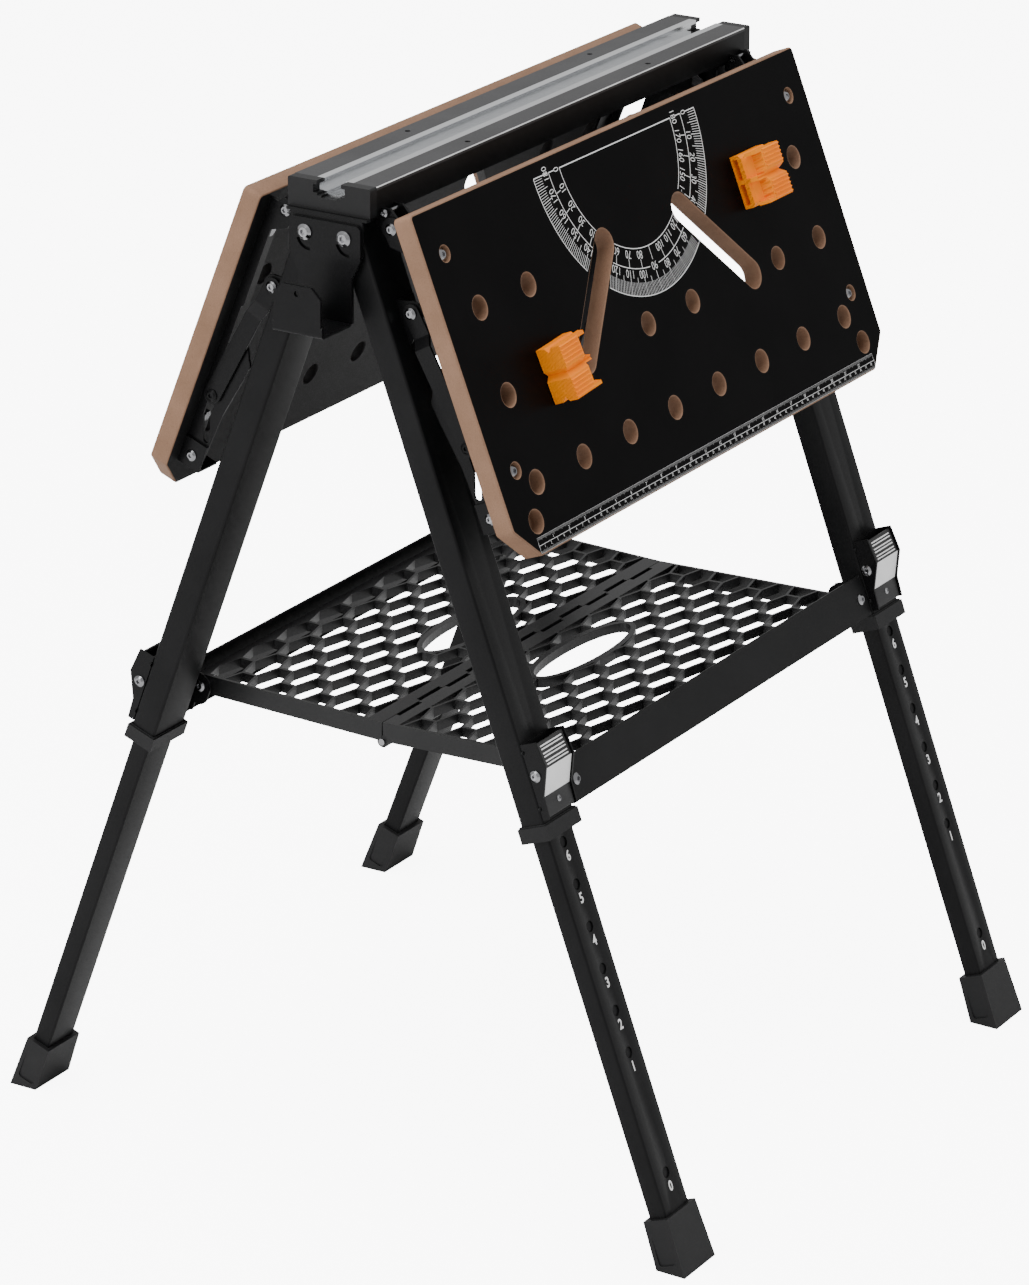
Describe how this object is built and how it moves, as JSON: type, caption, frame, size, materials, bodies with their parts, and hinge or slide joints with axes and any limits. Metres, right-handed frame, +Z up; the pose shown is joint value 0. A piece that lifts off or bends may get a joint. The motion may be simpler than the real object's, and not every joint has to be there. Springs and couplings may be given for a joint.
{
  "type": "folding sawhorse",
  "caption": "Folding sawhorse with a T-track beam, drop-leaf tops with dog holes and stays, telescoping legs, board hooks and a folding shelf.",
  "frame": {"origin": "on the floor, under the middle of the beam", "axes": "X along the beam, Y across it (the front leaf is on -Y), +Z up"},
  "size_m": [0.7292, 0.7102, 0.908],
  "materials": {
    "black_steel": "satin powder coat",
    "strip_paint": "satin powder coat with fine lines",
    "track_aluminium": "extruded, clear anodised",
    "cap_plastic": "fine moulded texture",
    "zinc_screws": "bright zinc",
    "pin_steel": "turned",
    "spring_steel": "oiled",
    "collar_plastic": "moulded",
    "foot_plastic": "moulded, slightly soft",
    "lever_paint": "silver paint",
    "tray_plastic": "moulded, satin",
    "dog_plastic": "moulded, satin",
    "board_mdf": "laminated face, bare fibre edges"
  },
  "bodies": {
    "beam": {"beam_channel": "black_steel", "top_strips": "strip_paint", "t_track": "track_aluminium", "end_caps": "cap_plastic", "end_bracket_near": "black_steel", "end_bracket_far": "black_steel", "wing_hinge_brackets": "black_steel", "beam_cross_pins": "zinc_screws", "leg_pivot_bolts": "zinc_screws"},
    "front_legs": {"front_leg_near": "black_steel", "front_leg_far": "black_steel", "front_collars": "collar_plastic", "front_latch_frames": "black_steel", "front_arm_ears": "black_steel", "front_leg_bolts": "zinc_screws", "front_latch_springs": "spring_steel"},
    "back_legs": {"back_leg_near": "black_steel", "back_leg_far": "black_steel", "back_collars": "collar_plastic", "back_latch_frames": "black_steel", "back_arm_ears": "black_steel", "back_leg_bolts": "zinc_screws", "back_latch_springs": "spring_steel"},
    "front_near_extension": {"front_near_lower_leg": "black_steel", "front_near_foot": "foot_plastic"},
    "front_near_latch": {"front_near_lever": "lever_paint"},
    "front_near_lock": {"front_near_lock_pin": "pin_steel"},
    "front_near_stay_arm": {"front_near_stay": "black_steel"},
    "front_far_extension": {"front_far_lower_leg": "black_steel", "front_far_foot": "foot_plastic"},
    "front_far_latch": {"front_far_lever": "lever_paint"},
    "front_far_lock": {"front_far_lock_pin": "pin_steel"},
    "front_far_stay_arm": {"front_far_stay": "black_steel"},
    "front_hinge_pair": {"front_hinge_pins": "zinc_screws"},
    "front_leaf": {"front_board": "board_mdf", "front_board_rails": "black_steel", "front_board_screws": "zinc_screws"},
    "back_near_extension": {"back_near_lower_leg": "black_steel", "back_near_foot": "foot_plastic"},
    "back_near_latch": {"back_near_lever": "lever_paint"},
    "back_near_lock": {"back_near_lock_pin": "pin_steel"},
    "back_near_stay_arm": {"back_near_stay": "black_steel"},
    "back_far_extension": {"back_far_lower_leg": "black_steel", "back_far_foot": "foot_plastic"},
    "back_far_latch": {"back_far_lever": "lever_paint"},
    "back_far_lock": {"back_far_lock_pin": "pin_steel"},
    "back_far_stay_arm": {"back_far_stay": "black_steel"},
    "back_hinge_pair": {"back_hinge_pins": "zinc_screws"},
    "back_leaf": {"back_board": "board_mdf", "back_board_rails": "black_steel", "back_board_screws": "zinc_screws"},
    "shelf_pin": {"shelf_hinge_pin": "zinc_screws"},
    "front_shelf": {"front_tray": "tray_plastic"},
    "front_rail": {"front_shelf_rail": "black_steel", "front_rail_bolts": "zinc_screws"},
    "back_shelf": {"back_tray": "tray_plastic"},
    "back_rail": {"back_shelf_rail": "black_steel", "back_rail_bolts": "zinc_screws"},
    "near_dog_turn": {"near_dog": "dog_plastic"},
    "far_dog_turn": {"far_dog": "dog_plastic"}
  },
  "joints": [
    {"name": "legs_fold", "type": "hinge", "parent": "beam", "child": "front_legs", "pos_m": [0, -0.0193, 0.865], "axis": [1, 0, 0], "range_deg": [0, 20.4]},
    {"name": "back_legs_fold", "type": "hinge", "parent": "beam", "child": "back_legs", "pos_m": [0, 0.0193, 0.865], "axis": [1, 0, 0], "range_deg": [-20.41, 0]},
    {"name": "shelf_rise", "type": "slide", "parent": "beam", "child": "shelf_pin", "axis": [0, 0, 1], "range_m": [0, 0.17269]},
    {"name": "front_tray_turn", "type": "hinge", "parent": "shelf_pin", "child": "front_shelf", "pos_m": [0, 0, 0.387], "axis": [1, 0, 0], "range_deg": [0, 91.56]},
    {"name": "front_rail_turn", "type": "hinge", "parent": "front_shelf", "child": "front_rail", "pos_m": [0, -0.18319, 0.40423], "axis": [1, 0, 0], "range_deg": [-71.16, 0]},
    {"name": "front_hinge_slip", "type": "slide", "parent": "front_legs", "child": "front_hinge_pair", "axis": [0, 0.4059, 0.9139], "range_m": [0, 0.01197]},
    {"name": "front_leaf_lift", "type": "hinge", "parent": "front_hinge_pair", "child": "front_leaf", "pos_m": [0, -0.052, 0.873], "axis": [-1, 0, 0], "range_deg": [0, 68.36]},
    {"name": "front_near_stay_turn", "type": "hinge", "parent": "front_legs", "child": "front_near_stay_arm", "pos_m": [-0.3, -0.06899, 0.80282], "axis": [-1, 0, 0], "range_deg": [0, 100.2]},
    {"name": "front_near_leg_length", "type": "slide", "parent": "front_legs", "child": "front_near_extension", "axis": [0, 0.3486, 0.9373], "range_m": [0, 0.3381]},
    {"name": "front_near_latch_press", "type": "hinge", "parent": "front_legs", "child": "front_near_latch", "pos_m": [-0.292, -0.20193, 0.42613], "axis": [-1, 0, 0], "range_deg": [0, 16], "stiffness_Nm_per_rad": 0.3, "springref_deg": -20.05},
    {"name": "front_near_lock_travel", "type": "slide", "parent": "front_legs", "child": "front_near_lock", "axis": [0, -0.9373, 0.3486], "range_m": [0, 0.006]},
    {"name": "front_far_stay_turn", "type": "hinge", "parent": "front_legs", "child": "front_far_stay_arm", "pos_m": [0.3, -0.06899, 0.80282], "axis": [-1, 0, 0], "range_deg": [0, 100.2]},
    {"name": "front_far_leg_length", "type": "slide", "parent": "front_legs", "child": "front_far_extension", "axis": [0, 0.3486, 0.9373], "range_m": [0, 0.3381]},
    {"name": "front_far_latch_press", "type": "hinge", "parent": "front_legs", "child": "front_far_latch", "pos_m": [0.292, -0.20193, 0.42613], "axis": [-1, 0, 0], "range_deg": [0, 16], "stiffness_Nm_per_rad": 0.3, "springref_deg": -20.05},
    {"name": "front_far_lock_travel", "type": "slide", "parent": "front_legs", "child": "front_far_lock", "axis": [0, -0.9373, 0.3486], "range_m": [0, 0.006]},
    {"name": "back_tray_turn", "type": "hinge", "parent": "shelf_pin", "child": "back_shelf", "pos_m": [0, 0, 0.387], "axis": [1, 0, 0], "range_deg": [-91.56, 0]},
    {"name": "back_rail_turn", "type": "hinge", "parent": "back_shelf", "child": "back_rail", "pos_m": [0, 0.18319, 0.40423], "axis": [1, 0, 0], "range_deg": [0, 71.16]},
    {"name": "back_hinge_slip", "type": "slide", "parent": "back_legs", "child": "back_hinge_pair", "axis": [0, -0.4059, 0.9139], "range_m": [0, 0.01197]},
    {"name": "back_leaf_lift", "type": "hinge", "parent": "back_hinge_pair", "child": "back_leaf", "pos_m": [0, 0.052, 0.873], "axis": [1, 0, 0], "range_deg": [0, 68.36]},
    {"name": "back_near_stay_turn", "type": "hinge", "parent": "back_legs", "child": "back_near_stay_arm", "pos_m": [-0.3, 0.06899, 0.80282], "axis": [1, 0, 0], "range_deg": [0, 100.2]},
    {"name": "back_near_leg_length", "type": "slide", "parent": "back_legs", "child": "back_near_extension", "axis": [0, -0.3486, 0.9373], "range_m": [0, 0.3381]},
    {"name": "back_near_latch_press", "type": "hinge", "parent": "back_legs", "child": "back_near_latch", "pos_m": [-0.292, 0.20193, 0.42613], "axis": [1, 0, 0], "range_deg": [0, 16], "stiffness_Nm_per_rad": 0.3, "springref_deg": -20.05},
    {"name": "back_near_lock_travel", "type": "slide", "parent": "back_legs", "child": "back_near_lock", "axis": [0, 0.9373, 0.3486], "range_m": [0, 0.006]},
    {"name": "back_far_stay_turn", "type": "hinge", "parent": "back_legs", "child": "back_far_stay_arm", "pos_m": [0.3, 0.06899, 0.80282], "axis": [1, 0, 0], "range_deg": [0, 100.2]},
    {"name": "back_far_leg_length", "type": "slide", "parent": "back_legs", "child": "back_far_extension", "axis": [0, -0.3486, 0.9373], "range_m": [0, 0.3381]},
    {"name": "back_far_latch_press", "type": "hinge", "parent": "back_legs", "child": "back_far_latch", "pos_m": [0.292, 0.20193, 0.42613], "axis": [1, 0, 0], "range_deg": [0, 16], "stiffness_Nm_per_rad": 0.3, "springref_deg": -20.05},
    {"name": "back_far_lock_travel", "type": "slide", "parent": "back_legs", "child": "back_far_lock", "axis": [0, 0.9373, 0.3486], "range_m": [0, 0.006]},
    {"name": "near_dog_swivel", "type": "hinge", "parent": "front_leaf", "child": "near_dog_turn", "pos_m": [-0.1905, -0.13533, 0.7335], "axis": [0, -0.9295, 0.3689], "continuous": true},
    {"name": "far_dog_swivel", "type": "hinge", "parent": "front_leaf", "child": "far_dog_turn", "pos_m": [0.1905, -0.1073, 0.80414], "axis": [0, -0.9295, 0.3689], "continuous": true}
  ],
  "couplings": [
    {"joint": "back_legs_fold", "follows": "legs_fold", "ratio": -1},
    {"joint": "shelf_rise", "follows": "legs_fold", "m_per_rad": 0.48473},
    {"joint": "front_tray_turn", "follows": "legs_fold", "ratio": 4.4873},
    {"joint": "front_rail_turn", "follows": "legs_fold", "ratio": -3.4872},
    {"joint": "front_hinge_slip", "follows": "legs_fold", "m_per_rad": 0.033487},
    {"joint": "front_near_stay_turn", "follows": "front_leaf_lift", "ratio": 1.4656},
    {"joint": "front_near_lock_travel", "follows": "front_near_latch_press", "m_per_rad": 0.0214},
    {"joint": "front_far_stay_turn", "follows": "front_leaf_lift", "ratio": 1.4656},
    {"joint": "front_far_lock_travel", "follows": "front_far_latch_press", "m_per_rad": 0.0214},
    {"joint": "back_tray_turn", "follows": "legs_fold", "ratio": -4.4873},
    {"joint": "back_rail_turn", "follows": "legs_fold", "ratio": 3.4872},
    {"joint": "back_hinge_slip", "follows": "legs_fold", "m_per_rad": 0.033487},
    {"joint": "back_near_stay_turn", "follows": "back_leaf_lift", "ratio": 1.4656},
    {"joint": "back_near_lock_travel", "follows": "back_near_latch_press", "m_per_rad": 0.0214},
    {"joint": "back_far_stay_turn", "follows": "back_leaf_lift", "ratio": 1.4656},
    {"joint": "back_far_lock_travel", "follows": "back_far_latch_press", "m_per_rad": 0.0214}
  ]
}
